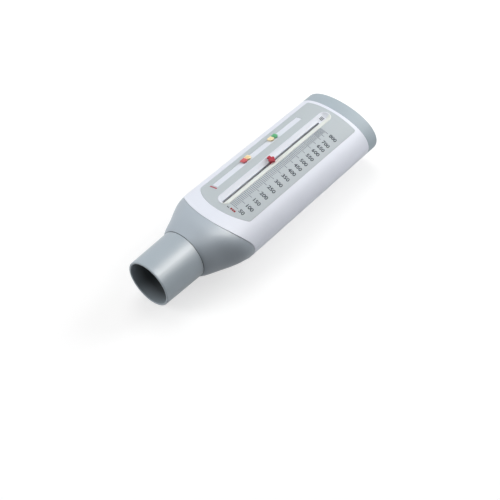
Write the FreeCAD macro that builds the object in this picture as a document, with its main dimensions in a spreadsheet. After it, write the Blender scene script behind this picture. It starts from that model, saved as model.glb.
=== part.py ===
# Peak flow meter: an oval hand-held meter with a pull-off mouthpiece, a slotted barrel with a
# sprung piston inside, a pointer that stays where the piston leaves it, and two zone markers.
# Every piece is drawn about the meter's own axis: x runs from the lip of the mouthpiece to the
# vented end, y to the left and z up. The pieces are then moved so that the origin lies on the
# surface that the meter rests on, halfway along it.

import FreeCAD, Part
import math
import os
import Sketcher
from FreeCAD import Placement, Rotation, Vector

# Driving sizes in millimetres; "station" means the distance along x from the lip
SIZES = {
    # whole meter
    "overall_length": 172.0,
    "body_width": 54.4,
    "body_height": 34.8,
    "shell_wall": 1.6,
    "rest_flat": 0.2,          # how much is taken off the back to make it lie flat
    "seam": 0.12,              # gap between pieces that don't move on each other
    "slip": 0.25,              # gap round pieces that move
    # mouthpiece
    "mouth_radius": 14.4,
    "tube_radius": 15.0,
    "mouth_bore": 13.15,
    "tube_length": 27.7,
    "lip_round": 0.5,
    "spigot_length": 9.0,
    "spigot_radius": 14.2,
    # neck
    "collar_radius": 15.3,
    "neck_end": 57.5,          # station where the neck is as wide as the body
    "neck_spread": 9.0,        # run over which its crown reaches the body's width
    "neck_climb": 12.0,        # run over which its crown reaches the body's height
    "flank_flare": 1.32,       # how far the leaning flanks open, past the body's width
    "flank_bow": 2.2,          # how much they are hollowed along their length
    "flank_height": 20.5,
    "flank_climb": 24.0,
    "ridge_edge": 18.0,        # how sharply the crown meets the flanks
    "tongue_wall": 1.0,
    "tongue_reach": 6.0,
    "web": 1.6,
    "sleeve_wall": 0.9,
    "sleeve_reach": 6.0,       # how far the barrel goes into the neck and into the cap
    # shells and end cap
    "shell_front": 44.3,
    "front_arc": 36.5,
    "cap_length": 11.7,
    "rear_arc": 135.0,
    "end_dish": 182.0,
    "cap_bevel": 0.9,
    "lip_height": 1.4,
    "lip_wall": 0.8,
    "rib_wall": 1.6,
    "vent_width": 2.0,
    "vent_pitch": 4.4,
    "vent_border": 5.5,
    # scale plate
    "plate_wall": 0.4,
    "plate_front": 53.4,
    "plate_margin": 2.3,       # from its rear end to the cap
    "plate_width": 37.0,
    "plate_front_arc": 24.5,
    "plate_rear_arc": 214.0,
    "front_corner": 3.0,
    "rear_corner": 1.0,
    # pointer track
    "track_start": 57.9,
    "track_margin": 4.4,       # from its rear end to the cap
    "track_width": 10.0,
    "track_rim": 0.8,
    "track_rise": 0.25,
    "track_dish": 1.1,
    "track_flange": 1.4,
    "flange_wall": 0.8,
    "slot_start": 59.2,
    "slot_margin": 15.9,
    "slot_width": 1.5,
    # marker rail
    "rail_start": 66.6,
    "rail_margin": 17.9,
    "rail_width": 4.8,
    "rail_offset": 12.15,
    "rail_depth": 1.3,
    "rail_floor": 0.8,
    "rail_side": 0.7,
    "rail_undercut": 0.45,
    "rail_flange": 0.6,
    "rail_tab": 4.0,
    # pointer
    "pointer_at": 102.2,
    "pointer_length": 4.0,
    "pointer_tail": 2.9,
    "pointer_tip": 2.2,
    "pointer_height": 1.2,
    "pointer_sink": 0.1,       # how far the pointer dips below the track's rim
    "stem_length": 2.0,
    "stem_width": 1.0,
    "foot_length": 6.0,
    "foot_width": 5.0,
    "foot_wall": 0.6,
    "brake_wall": 0.5,
    # zone markers
    "low_marker_at": 94.0,
    "high_marker_at": 118.1,
    "marker_length": 6.6,
    "marker_width": 4.0,
    "marker_height": 0.7,
    "marker_point": 1.1,
    "ridge_width": 0.4,
    "ridge_pitch": 0.85,
    "ridge_rise": 0.25,
    # barrel and piston
    "barrel_bore": 11.4,
    "barrel_wall": 0.8,
    "barrel_front": 43.4,
    "barrel_margin": 0.3,      # from its rear end to the cap's edge
    "gasket_wall": 0.9,
    "piston_front": 56.8,
    "piston_wall": 1.2,
    "piston_skirt": 3.0,
    "hub_radius": 2.9,
    "hub_length": 10.0,
    "bush_radius": 2.1,
    "finger_width": 2.4,
    "finger_gap": 0.36,        # from the finger to the underside of the pointer's foot
    "travel_room": 2.5,        # from the hub at full travel to the buffer
    "slot_overrun": 8.0,       # how far the barrel's slot goes past the finger at full travel
    # rod, spring and their carriers
    "rod_radius": 1.25,
    "rod_end": 0.6,
    "spider_front": 44.4,
    "spider_margin": 6.0,      # from the rear spider to the cap's edge
    "spider_wall": 2.0,
    "spider_hub": 3.6,
    "spoke_width": 1.3,
    "clip_radius": 2.9,
    "clip_wall": 0.5,
    "buffer_radius": 3.4,
    "buffer_length": 3.0,
    "spring_radius": 2.0,
    "wire_radius": 0.3,
    "spring_turns": 6.0,
    "turn_bends": 14.0,
}

doc = FreeCAD.newDocument("peak_flow_meter")
size = doc.addObject("Spreadsheet::Sheet", "Size")
for row, (alias, value) in enumerate(SIZES.items(), 1):
    size.set("A%d" % row, alias)
    size.set("B%d" % row, str(value))
    size.setAlias("B%d" % row, alias)
doc.recompute()

ALONG_X = Rotation(Vector(0, 1, 0), 90)
OVAL_TURN = Rotation(Vector(1, 1, 1), 120)
PLACES = {"x": "Placement.Base.x", "y": "Placement.Base.y", "z": "Placement.Base.z"}

# Expressions used by more than one piece
HALF_WIDTH = "Size.body_width / 2"
HALF_HEIGHT = "Size.body_height / 2"
NECK_FRONT = "Size.tube_length + Size.slip"
SOCKET_END = "Size.tube_length + Size.spigot_length + Size.slip"
NECK_WALL = "Size.shell_wall + Size.seam + Size.tongue_wall"
BARREL_RADIUS = "Size.barrel_bore + Size.barrel_wall"
SLEEVE_BORE = "Size.barrel_bore + Size.barrel_wall + Size.seam"
TRACK_TOP = "Size.body_height / 2 + Size.track_rise"
FLANGE_TOP = "Size.body_height / 2 - Size.shell_wall - 6 * Size.seam"
TRACK_BOTTOM = FLANGE_TOP + " - Size.flange_wall"
RAIL_LEVEL = "Size.body_height / 2 * sqrt(1 - (2 * Size.rail_offset / Size.body_width) ^ 2)"
RAIL_TILT = "atan(Size.body_height ^ 2 * Size.rail_offset / (Size.body_width ^ 2 * %s))" % RAIL_LEVEL
SHELL_REAR = "Size.overall_length - Size.cap_length"
BARREL_REAR = SHELL_REAR + " - Size.barrel_margin"
RAIL_END = SHELL_REAR + " - Size.rail_margin"
REAR_SPIDER = SHELL_REAR + " - Size.spider_margin"
FULL_TRAVEL = REAR_SPIDER + " - Size.buffer_length - Size.travel_room - Size.hub_length"
FOOT_TOP = TRACK_BOTTOM + " - Size.seam - Size.brake_wall"
STEM_LOW = FOOT_TOP + " - Size.foot_wall"

# How many points each cross-section of the neck passes through
NECK_POINTS = 56

parts = []


# Ties an object's properties to the sheet
def bind(item, **settings):
    for name, text in settings.items():
        item.setExpression(PLACES.get(name, name), text)
    return item


# Solids from a few bound sizes

def bar(name, radius, start, length, z="0"):
    item = doc.addObject("Part::Cylinder", name)
    item.Placement.Rotation = ALONG_X
    return bind(item, Radius=radius, x=start, Height=length, z=z)


def post(name, radius, x, low, height, y="0"):
    item = doc.addObject("Part::Cylinder", name)
    return bind(item, Radius=radius, x=x, y=y, z=low, Height=height)


def block(name, x, y, z):
    item = doc.addObject("Part::Box", name)
    bind(item, x=x[0], Length="%s - (%s)" % (x[1], x[0]))
    bind(item, y=y[0], Width="%s - (%s)" % (y[1], y[0]))
    return bind(item, z=z[0], Height="%s - (%s)" % (z[1], z[0]))


def oval(name, inset, start, end):
    rim = doc.addObject("Part::Ellipse", name + "Rim")
    rim.Placement.Rotation = OVAL_TURN
    bind(rim, MajorRadius=HALF_WIDTH + " - (%s)" % inset, MinorRadius=HALF_HEIGHT + " - (%s)" % inset)
    bind(rim, x=start)
    item = doc.addObject("Part::Extrusion", name)
    item.Base = rim
    item.DirMode = "Custom"
    item.Dir = Vector(1, 0, 0)
    item.Solid = True
    return bind(item, LengthFwd="%s - (%s)" % (end, start))


# A long slot with round ends whose sides may slope outwards towards the top
def slot(name, start, end, low_half, high_half, low, high):
    pieces = []
    for side, x in (("Front", "%s + (%s)" % (start, high_half)), ("Rear", "%s - (%s)" % (end, high_half))):
        cone = doc.addObject("Part::Cone", name + side)
        bind(cone, Radius1=low_half, Radius2=high_half, Height="%s - (%s)" % (high, low), x=x, z=low)
        pieces.append(cone)
    middle = doc.addObject("Part::Wedge", name + "Middle")
    middle.Placement.Rotation = Rotation(Vector(1, 0, 0), 90)
    bind(middle, Xmin="0", X2min="0", Ymin="0", Ymax="%s - (%s)" % (high, low))
    bind(middle, Zmin="-(%s)" % low_half, Zmax=low_half, Z2min="-(%s)" % high_half, Z2max=high_half)
    run = "%s - (%s) - 2 * (%s)" % (end, start, high_half)
    bind(middle, Xmax=run, X2max=run, x="%s + (%s)" % (start, high_half), z=low)
    return fuse(name, [middle] + pieces)


def cut(name, base, tool):
    item = doc.addObject("Part::Cut", name)
    item.Base = base
    item.Tool = tool
    return item


def common(name, base, tool):
    item = doc.addObject("Part::Common", name)
    item.Base = base
    item.Tool = tool
    return item


def fuse(name, shapes):
    item = doc.addObject("Part::MultiFuse", name)
    item.Shapes = shapes
    return item


# Sketches and features of a body

def origin_plane(body, role):
    return next(item for item in body.Origin.OriginFeatures if item.Role == role)


def outline(body, role, corners, offset="0"):
    sketch = body.newObject("Sketcher::SketchObject", body.Name + "Outline")
    sketch.AttachmentSupport = [(origin_plane(body, role), "")]
    sketch.MapMode = "FlatFace"
    sketch.setExpression("AttachmentOffset.Base.z", offset)
    count = len(corners)
    turn = 2 * math.pi / count
    first = [Vector(math.cos(turn * i), math.sin(turn * i), 0) for i in range(count)]
    for i in range(count):
        sketch.addGeometry(Part.LineSegment(first[i], first[(i + 1) % count]))
    for i in range(count):
        sketch.addConstraint(Sketcher.Constraint("Coincident", i, 2, (i + 1) % count, 1))
    for i, corner in enumerate(corners):
        for axis, start, text in zip("XY", first[i], corner):
            tie = Sketcher.Constraint("Distance" + axis, -1, 1, i, 1, start)
            sketch.setExpression("Constraints[%d]" % sketch.addConstraint(tie), text)
    return sketch


# Turns an outline of (station, radius) corners round the x axis
def turned(name, corners):
    body = doc.addObject("PartDesign::Body", name)
    sketch = outline(body, "XZ_Plane", corners)
    feature = body.newObject("PartDesign::Revolution", name + "Turn")
    feature.Profile = sketch
    feature.ReferenceAxis = (sketch, ["H_Axis"])
    feature.Angle = 360
    return body


def square(half_x, half_y):
    return [("%d * (%s)" % (u, half_x), "%d * (%s)" % (v, half_y)) for u, v in ((-1, -1), (-1, 1), (1, 1), (1, -1))]


def pad(body, role, corners, offset, length):
    feature = body.newObject("PartDesign::Pad", body.Name + "Pad")
    feature.Profile = outline(body, role, corners, offset)
    return bind(feature, Length=length)


# Takes a shape out of a body from the sketch's plane upwards
def pocket(body, role, corners, offset, length):
    doc.recompute()
    before = body.Shape.Volume
    feature = body.newObject("PartDesign::Pocket", body.Name + "Pocket")
    feature.Profile = outline(body, role, corners, offset)
    feature.Reversed = True
    bind(feature, Length=length)
    doc.recompute()
    if body.Shape.Volume >= before:
        raise RuntimeError("pocket in %s cuts nothing" % body.Name)
    return feature


# Names a finished piece and moves it to the frame that all pieces share
def finish(item, label, x="0", y="0", z="0"):
    item.Label = label
    bind(item, x="%s - Size.overall_length / 2" % x, y=y)
    bind(item, z="%s + Size.body_height / 2 - Size.rest_flat" % z)
    parts.append(item)
    return item


# The marker rail leans with the oval, so what belongs to it is drawn upright and then turned
def lean(item, level=RAIL_LEVEL):
    item.Placement.Rotation = Rotation(Vector(-1, 0, 0), 20)
    item.setExpression("Placement.Rotation.Angle", RAIL_TILT)
    return bind(item, y="Size.rail_offset", z=level)


# Mouthpiece: a slightly tapered tube with a straight bore and a spigot that pushes into the neck.
# Its lip is rounded in flats, and quarter_turns are the shares of the round at each corner.
quarter_turns = [(round(1 - math.sin(math.pi * i / 6), 3), round(1 - math.cos(math.pi * i / 6), 3))
                 for i in range(4)]
lip_inside = [("%s * Size.lip_round" % v, "Size.mouth_bore + %s * Size.lip_round" % u)
              for u, v in reversed(quarter_turns)]
lip_outside = [("%s * Size.lip_round" % v, "Size.mouth_radius - %s * Size.lip_round" % u)
               for u, v in quarter_turns]
tube_end = "Size.tube_length"
spigot_end = "Size.tube_length + Size.spigot_length"
mouthpiece = turned("Mouthpiece", lip_inside + lip_outside + [
    (tube_end, "Size.tube_radius"),
    (tube_end, "Size.spigot_radius"),
    (spigot_end, "Size.spigot_radius"),
    (spigot_end, "Size.mouth_bore"),
])
finish(mouthpiece, "mouthpiece")

# What lies below the flat back
rest_waste = block("RestWaste", ("0", "Size.overall_length + 9"), ("-Size.body_width", "Size.body_width"),
                   ("-Size.body_height", "Size.rest_flat - Size.body_height / 2"))


def ease(share):
    return (1 - math.cos(math.pi * min(1, share))) / 2


def swell(share):
    return math.sin(math.pi / 2 * min(1, share))


# Neck: a round collar that swells into the body's oval and is cut back by two leaning flanks
def neck_section(station, inset):
    run = station - neck_start
    share = run / (size.neck_end - neck_start)
    collar = size.collar_radius
    half_width = size.body_width / 2
    crown_width = collar + (half_width - collar) * swell(run / size.neck_spread)
    crown_height = collar + (size.body_height / 2 - collar) * ease(run / size.neck_climb)
    flank_width = collar + (half_width - collar) * size.flank_flare * share
    flank_width -= size.flank_bow * share * (1 - share)
    flank_height = collar + (size.flank_height - collar) * swell(run / size.flank_climb)
    edge = size.ridge_edge
    grow = 1 + (2 ** (1 / edge) - 1) * (1 - ease(run / size.neck_climb))
    rim = []
    for i in range(NECK_POINTS):
        c = math.cos(2 * math.pi * i / NECK_POINTS)
        s = math.sin(2 * math.pi * i / NECK_POINTS)
        crown = 1 / math.hypot(c / (grow * crown_width - inset), s / (grow * crown_height - inset))
        flank = 1 / math.hypot(c / (grow * flank_width - inset), s / (grow * flank_height - inset))
        reach = (crown ** -edge + flank ** -edge) ** (-1 / edge)
        rim.append(Vector(station, reach * c, reach * s))
    curve = Part.BSplineCurve()
    curve.interpolate(rim, PeriodicFlag=True)
    return Part.Wire(curve.toShape())


def neck_form(name, start, inset, count):
    step = (size.neck_end - start) / (count - 1)
    rims = [neck_section(start + step * i, inset) for i in range(count)]
    item = doc.addObject("Part::Feature", name)
    item.Shape = Part.makeLoft(rims, True, False)
    return item


neck_start = size.tube_length + size.slip
cavity_start = size.tube_length + size.spigot_length + size.slip + size.web
neck_wall = size.shell_wall + size.seam + size.tongue_wall
skin = neck_form("NeckSkin", neck_start, 0, 12)
hollow = neck_form("NeckHollow", cavity_start, neck_wall, 7)
front_centre = "Size.shell_front + Size.front_arc"
front_edge = post("FrontEdge", "Size.front_arc", front_centre, "-Size.body_height", "2 * Size.body_height")
tongue_edge = post("TongueEdge", "Size.front_arc", front_centre + " + Size.tongue_reach",
                   "-Size.body_height", "2 * Size.body_height")
tongue = oval("NeckTongue", "Size.shell_wall + Size.seam", "Size.shell_front", "Size.neck_end + Size.tongue_reach")
tongue_hollow = oval("TongueHollow", NECK_WALL, "Size.neck_end", "Size.neck_end + 2 * Size.tongue_reach")
tongue_root = post("TongueRoot", "Size.front_arc + Size.web", front_centre, "-Size.body_height",
                   "2 * Size.body_height")
tongue = cut("TongueTrim", common("TongueRooted", tongue, tongue_root), tongue_edge)
neck = fuse("NeckWalls", [cut("NeckSkinEdge", skin, front_edge), tongue])
neck = cut("NeckOpen", neck, fuse("NeckHollows", [hollow, tongue_hollow, rest_waste]))
sleeve = bar("NeckSleeve", SLEEVE_BORE + " + Size.sleeve_wall", SOCKET_END,
             "Size.barrel_front + Size.sleeve_reach - (%s)" % SOCKET_END)
neck = fuse("NeckSleeved", [neck, sleeve])
socket = bar("NeckSocket", "Size.spigot_radius + Size.seam", NECK_FRONT + " - 1", "Size.spigot_length + 1")
duct = bar("NeckDuct", "Size.barrel_bore", NECK_FRONT, "Size.shell_front")
seat = bar("NeckSeat", SLEEVE_BORE, "Size.barrel_front - Size.gasket_wall - Size.seam", "Size.shell_front")
neck = cut("Neck", neck, fuse("NeckBores", [socket, duct, seat]))
finish(neck, "neck")

# The oval tube of the body, before it is parted into two shells
tube = cut("BodyTube", oval("BodyOuter", "0", "Size.shell_front", "Size.overall_length"),
           oval("BodyInner", "Size.shell_wall", "Size.shell_front - 1", "Size.overall_length + 1"))
front_waste = cut(
    "FrontWaste",
    block("FrontBlock", ("Size.shell_front - 1", front_centre), ("-Size.body_width", "Size.body_width"),
          ("-Size.body_height", "Size.body_height")),
    post("FrontCurve", "Size.front_arc - Size.seam", front_centre, "-2 * Size.body_height",
         "4 * Size.body_height"))
rear_waste = post("RearWaste", "Size.rear_arc", SHELL_REAR + " + Size.rear_arc", "-Size.body_height",
                  "2 * Size.body_height")
tube = cut("BodyTrim", tube, fuse("BodyWaste", [front_waste, rear_waste]))


# The plan of the scale plate, as a prism; grow makes the recess that it lies in
def plate_plan(name, grow):
    half = "Size.plate_width / 2 + " + grow
    start = "Size.plate_front - " + grow
    end = SHELL_REAR + " - Size.plate_margin + " + grow
    radius = "Size.plate_front_arc + " + grow
    centre = "%s + (%s)" % (start, radius)
    plan = block(name + "Block", (start, end + " + 2"), ("-(%s)" % half, half), ("0", "Size.body_height"))
    nose = block(name + "Nose", (start + " - 1", centre), ("-Size.body_width", "Size.body_width"),
                 ("-1", "Size.body_height + 1"))
    nose = cut(name + "NoseWaste", nose, post(name + "NoseCurve", radius, centre, "-2", "Size.body_height + 4"))
    tail = post(name + "Tail", "Size.plate_rear_arc", end + " + Size.plate_rear_arc", "-1",
                "Size.body_height + 2")
    plan = cut(name + "Sharp", plan, fuse(name + "Waste", [nose, tail]))
    doc.recompute()
    rounding = doc.addObject("Part::Fillet", name)
    rounding.Base = plan
    middle = (size.plate_front + size.overall_length) / 2
    rounds = []
    for i, edge in enumerate(plan.Shape.Edges, 1):
        box = edge.BoundBox
        if box.ZLength > size.body_height / 2 and box.XLength < size.seam and box.YLength < size.seam:
            radius = size.front_corner if box.XMax < middle else size.rear_corner
            rounds.append((i, radius, radius))
    rounding.Edges = rounds
    return rounding


# Windows for the pointer track and the marker rail, grown by the gap round what fills them
def track_form(name, grow, low, high):
    half = "Size.track_width / 2 + " + grow
    end = SHELL_REAR + " - Size.track_margin + " + grow
    return slot(name, "Size.track_start - " + grow, end, half, half, low, high)


def rail_window(name, side, low, high):
    reach = "Size.rail_width / 2 + " + side
    window = doc.addObject("Part::Compound", name)
    ends = ("Size.rail_start - (%s)" % side, "%s + %s" % (RAIL_END, side))
    window.Links = [block(name + "Block", ends, ("-(%s)" % reach, reach), (low, high))]
    return lean(window)


# Front shell: the upper half, with the recess for the scale plate and the two windows
upper = block("UpperHalf", ("0", "Size.overall_length + 9"), ("-Size.body_width", "Size.body_width"),
              ("Size.seam / 2", "Size.body_height"))
recess = common("PlateRecess", plate_plan("RecessPlan", "Size.seam"),
                cut("RecessSkin", oval("RecessOuter", "-1", "Size.shell_front", "Size.overall_length"),
                    oval("RecessFloor", "Size.plate_wall + Size.seam", "Size.shell_front - 1",
                         "Size.overall_length + 1")))
rail_gap = "Size.rail_undercut + Size.rail_side + Size.seam"
windows = fuse("ShellWindows", [
    recess,
    track_form("TrackWindow", "Size.seam", "0", "Size.body_height"),
    rail_window("RailWindow", rail_gap, "-3 * Size.shell_wall", "2 * Size.shell_wall"),
])
front_shell = cut("FrontShell", common("UpperShell", tube, upper), windows)
finish(front_shell, "front_shell")

# Rear shell: the lower half, with a lip inside the seam, saddles under the barrel and a flat back
lower = block("LowerHalf", ("0", "Size.overall_length + 9"), ("-Size.body_width", "Size.body_width"),
              ("Size.rest_flat - Size.body_height / 2", "-Size.seam / 2"))
lip_start = "Size.neck_end + Size.tongue_reach + 1"
lip_end = SHELL_REAR + " - Size.tongue_reach - 1"
lip = cut("LipRing", oval("LipOuter", "Size.shell_wall + Size.seam", lip_start, lip_end),
          oval("LipInner", "Size.shell_wall + Size.seam + Size.lip_wall", lip_start + " - 1", lip_end + " + 1"))
lip = common("Lip", lip, block("LipBand", (lip_start, lip_end), ("-Size.body_width", "Size.body_width"),
                               ("-2 * Size.lip_height", "Size.lip_height")))
root = cut("LipRootRing", oval("LipRootOuter", "Size.shell_wall / 2", lip_start, lip_end),
           oval("LipRootInner", "Size.shell_wall + Size.seam + Size.lip_wall", lip_start + " - 1",
                lip_end + " + 1"))
root = common("LipRoot", root, block("LipRootBand", (lip_start, lip_end),
                                     ("-Size.body_width", "Size.body_width"),
                                     ("-2 * Size.lip_height", "-Size.lip_height / 2")))
rear_pieces = [common("LowerShell", tube, lower), lip, root]
for i in range(3):
    station = "Size.neck_end + (%s - Size.neck_end) * %d / 6" % (SHELL_REAR, 1 + 2 * i)
    rib = oval("Rib%d" % i, "Size.shell_wall / 2", station, station + " + Size.rib_wall")
    rib = common("RibHalf%d" % i, rib, block("RibBox%d" % i, (station, station + " + Size.rib_wall"),
                                             ("-Size.barrel_bore", "Size.barrel_bore"),
                                             ("-Size.body_height / 2 + Size.shell_wall / 2", "-Size.barrel_bore / 2")))
    rear_pieces.append(rib)
saddle = bar("Saddle", SLEEVE_BORE, "Size.shell_front", "Size.overall_length")
rear_shell = cut("RearShell", fuse("RearWalls", rear_pieces), saddle)
finish(rear_shell, "rear_shell")

# End cap: an oval cup with a dished, slotted end, a tongue inside the shells and a barrel sleeve
cap_start = SHELL_REAR + " - Size.tongue_reach"
dish_centre = "Size.overall_length + sqrt(Size.end_dish ^ 2 - (Size.body_width / 2 - Size.cap_bevel) ^ 2)"
cap_end = "(%s) - Size.end_dish" % dish_centre
cap_outer = common(
    "CapOuterTrim", oval("CapOuter", "0", SHELL_REAR + " - 1", "Size.overall_length + 2"),
    post("CapEdge", "Size.rear_arc - Size.seam", SHELL_REAR + " + Size.rear_arc", "-Size.body_height",
         "2 * Size.body_height"))
cap_outer = cut("CapDished", cap_outer, post("CapDish", "Size.end_dish", dish_centre, "-Size.body_height",
                                             "2 * Size.body_height"))
doc.recompute()
bevelled = doc.addObject("Part::Chamfer", "CapBevelled")
bevelled.Base = cap_outer
rim = [i for i, edge in enumerate(cap_outer.Shape.Edges, 1)
       if edge.BoundBox.XMin > size.overall_length - size.cap_length / 2]
bevelled.Edges = [(i, size.cap_bevel, size.cap_bevel) for i in rim]
cap_tongue = oval("CapTongue", "Size.shell_wall + Size.seam", cap_start, SHELL_REAR + " + 2 * Size.shell_wall")
cap_hollow = cut(
    "CapHollow", oval("CapInner", NECK_WALL, cap_start + " - 1", "Size.overall_length"),
    post("CapInnerDish", "Size.end_dish + Size.shell_wall", dish_centre, "-Size.body_height",
         "2 * Size.body_height"))
cap = cut("CapWalls", fuse("CapSolid", [bevelled, cap_tongue]), cap_hollow)
cap_sleeve = cut(
    "CapSleeve",
    bar("CapSleeveOuter", SLEEVE_BORE + " + Size.sleeve_wall", BARREL_REAR + " - Size.sleeve_reach",
        "%s - Size.shell_wall / 2 - (%s - Size.sleeve_reach)" % (cap_end, BARREL_REAR)),
    bar("CapSleeveBore", SLEEVE_BORE, BARREL_REAR + " - 2 * Size.sleeve_reach", "Size.overall_length"))
vents = []
vent_count = 2 * int((size.body_width / 2 - size.vent_border) / size.vent_pitch) + 1
for i in range(vent_count):
    middle = "%d * Size.vent_pitch" % (i - vent_count // 2)
    vents.append(block("Vent%d" % i, (SHELL_REAR, "Size.overall_length + 1"),
                       (middle + " - Size.vent_width / 2", middle + " + Size.vent_width / 2"),
                       ("-Size.body_height", "Size.body_height")))
grille = common("Grille", fuse("Vents", vents),
                oval("VentZone", "Size.vent_border", cap_end + " - 2 * Size.shell_wall",
                     "Size.overall_length + 1"))
notch = track_form("CapNotch", "(Size.track_flange + Size.seam)", TRACK_BOTTOM + " - Size.seam", "Size.body_height / 2")
end_cap = cut("EndCap", fuse("CapSleeved", [cap, cap_sleeve]), fuse("CapCuts", [grille, notch, rest_waste]))
finish(end_cap, "end_cap")

# Scale plate: a thin curved plate let into the front shell
plate_skin = cut("PlateSkin", oval("PlateOuter", "0", "Size.shell_front", "Size.overall_length"),
                 oval("PlateInner", "Size.plate_wall", "Size.shell_front - 1", "Size.overall_length + 1"))
plate = common("PlateBlank", plate_skin, plate_plan("PlatePlan", "0"))
plate = cut("ScalePlate", plate, fuse("PlateWindows", [
    track_form("PlateTrackWindow", "Size.seam", "0", "Size.body_height"),
    rail_window("PlateRailWindow", "0", "-3 * Size.shell_wall", "2 * Size.shell_wall"),
]))
finish(plate, "scale_plate")

# Pointer track: a dished insert with a raised rim, pushed in from behind up to its flange
track = fuse("TrackSolid", [
    track_form("TrackBlock", "0", TRACK_BOTTOM, "Size.body_height"),
    track_form("TrackFlange", "Size.track_flange", TRACK_BOTTOM, FLANGE_TOP),
])
track = common("TrackTopped", track, oval("TrackTop", "-Size.track_rise", "0", "Size.overall_length"))
trough_half = "Size.track_width / 2 - Size.track_rim"
trough = slot("Trough", "Size.track_start + Size.track_rim",
              SHELL_REAR + " - Size.track_margin - Size.track_rim", "Size.slot_width / 2", trough_half,
              TRACK_TOP + " - Size.track_dish", TRACK_TOP)
pointer_slot = slot("PointerSlot", "Size.slot_start", SHELL_REAR + " - Size.slot_margin",
                    "Size.slot_width / 2", "Size.slot_width / 2", "0", "Size.body_height")
track = cut("PointerTrack", track, fuse("TrackCuts", [trough, pointer_slot]))
finish(track, "pointer_track")

# Marker rail: a channel under the plate's window, whose edges hold the markers' feet down
rail_out = "Size.rail_width / 2 + Size.rail_undercut + Size.rail_side"
rail_in = "Size.rail_width / 2 + Size.rail_undercut"
rail_low = "-Size.rail_depth - Size.rail_floor"
rail_top = "-Size.plate_wall - 3 * Size.seam"
rail = fuse("RailSolid", [
    block("RailBlock", ("Size.rail_start - Size.rail_undercut - Size.rail_side",
                        RAIL_END + " + Size.rail_undercut + Size.rail_side"),
          ("-(%s)" % rail_out, rail_out), (rail_low + " - Size.rail_flange", rail_top)),
    block("RailFlange", ("Size.rail_start - Size.rail_tab", RAIL_END + " + Size.rail_tab"),
          ("-(%s) - Size.rail_flange" % rail_out, rail_out + " + Size.rail_flange"),
          (rail_low + " - Size.rail_flange", rail_low)),
])
rail = cut("MarkerRail", rail, block(
    "RailChannel", ("Size.rail_start - Size.rail_undercut", RAIL_END + " + Size.rail_undercut"),
    ("-(%s)" % rail_in, rail_in), ("-Size.rail_depth", "0")))
finish(rail, "marker_rail")
lean(rail, RAIL_LEVEL + " + Size.body_height / 2 - Size.rest_flat")

# Zone markers: two arrowheads side by side on a foot that runs under the plate's edges
half_marker = "Size.marker_length / 2"
half_across = "Size.marker_width / 2"
shoulder = "Size.marker_point - Size.marker_width / 2"


def zone_marker(name, label, station):
    body = doc.addObject("PartDesign::Body", name)
    pad(body, "XY_Plane", [
        ("-(%s)" % half_marker, half_across),
        ("-(%s)" % half_marker, shoulder),
        ("-Size.marker_length / 4", "-(%s)" % half_across),
        ("0", shoulder),
        ("Size.marker_length / 4", "-(%s)" % half_across),
        (half_marker, shoulder),
        (half_marker, half_across),
    ], "Size.slip", "Size.marker_height")
    stem_half = "Size.marker_length / 2 - 2 * Size.slip"
    stem_side = "Size.marker_width / 2 - Size.marker_point"
    foot_side = "Size.rail_width / 2 + Size.rail_undercut / 2"
    foot_low = "-Size.rail_depth + Size.slip / 2"
    foot_high = "-Size.plate_wall - Size.slip - Size.seam"
    pad(body, "XY_Plane", square(stem_half, stem_side), foot_low, "Size.rail_depth + Size.slip / 2 + Size.seam")
    pad(body, "XY_Plane", square(stem_half, foot_side), foot_low, "%s - (%s)" % (foot_high, foot_low))
    for side in (-1, 1):
        for ridge in (-1, 0, 1):
            middle = "%d * Size.marker_length / 4 + %d * Size.ridge_pitch" % (side, ridge)
            pad(body, "XY_Plane", [
                (middle + " - Size.ridge_width / 2", shoulder),
                (middle + " - Size.ridge_width / 2", "Size.marker_width / 2 - Size.ridge_width"),
                (middle + " + Size.ridge_width / 2", "Size.marker_width / 2 - Size.ridge_width"),
                (middle + " + Size.ridge_width / 2", shoulder),
            ], "Size.slip + Size.marker_height - Size.ridge_rise", "2 * Size.ridge_rise")
    finish(body, label, x=station)
    return lean(body, RAIL_LEVEL + " + Size.body_height / 2 - Size.rest_flat")


zone_marker("LowMarker", "low_zone_marker", "Size.low_marker_at")
zone_marker("HighMarker", "high_zone_marker", "Size.high_marker_at")

# Pointer: an arrow that rides over the track, with a stem through its slot
pointer_low = TRACK_TOP + " - Size.pointer_sink"
half_pointer = "Size.pointer_length / 2"
pointer = doc.addObject("PartDesign::Body", "Pointer")
pad(pointer, "XY_Plane", [
    ("-Size.pointer_length / 4", "Size.pointer_tail"),
    ("-Size.pointer_length / 4", "Size.pointer_tail / 3"),
    ("-(%s)" % half_pointer, "Size.pointer_tail / 3"),
    ("-(%s)" % half_pointer, "0"),
    ("-Size.pointer_length / 12", "-Size.pointer_tip"),
    ("Size.pointer_length / 12", "-Size.pointer_tip"),
    (half_pointer, "0"),
    (half_pointer, "Size.pointer_tail / 3"),
    ("Size.pointer_length / 4", "Size.pointer_tail / 3"),
    ("Size.pointer_length / 4", "Size.pointer_tail"),
], pointer_low, "Size.pointer_height")
pad(pointer, "XY_Plane", square("Size.stem_length / 2", "Size.stem_width / 2"), STEM_LOW,
    "%s + Size.pointer_height / 2 - (%s)" % (pointer_low, STEM_LOW))
finish(pointer, "pointer", x="Size.pointer_at")


# The foot and the felt brake under the track, each with a hole for the stem
def under_plate(name, label, top, wall, length, width):
    base = block(name + "Block", ("-(%s) / 2" % length, "%s / 2" % length),
                 ("-(%s) / 2" % width, "%s / 2" % width), ("%s - %s" % (top, wall), top))
    hole_x = "Size.stem_length / 2 + Size.seam / 2"
    hole_y = "Size.stem_width / 2 + Size.seam / 2"
    hole = block(name + "Hole", ("-(%s)" % hole_x, hole_x), ("-(%s)" % hole_y, hole_y),
                 ("%s - 2 * %s" % (top, wall), "%s + %s" % (top, wall)))
    finish(cut(name, base, hole), label, x="Size.pointer_at")


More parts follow.
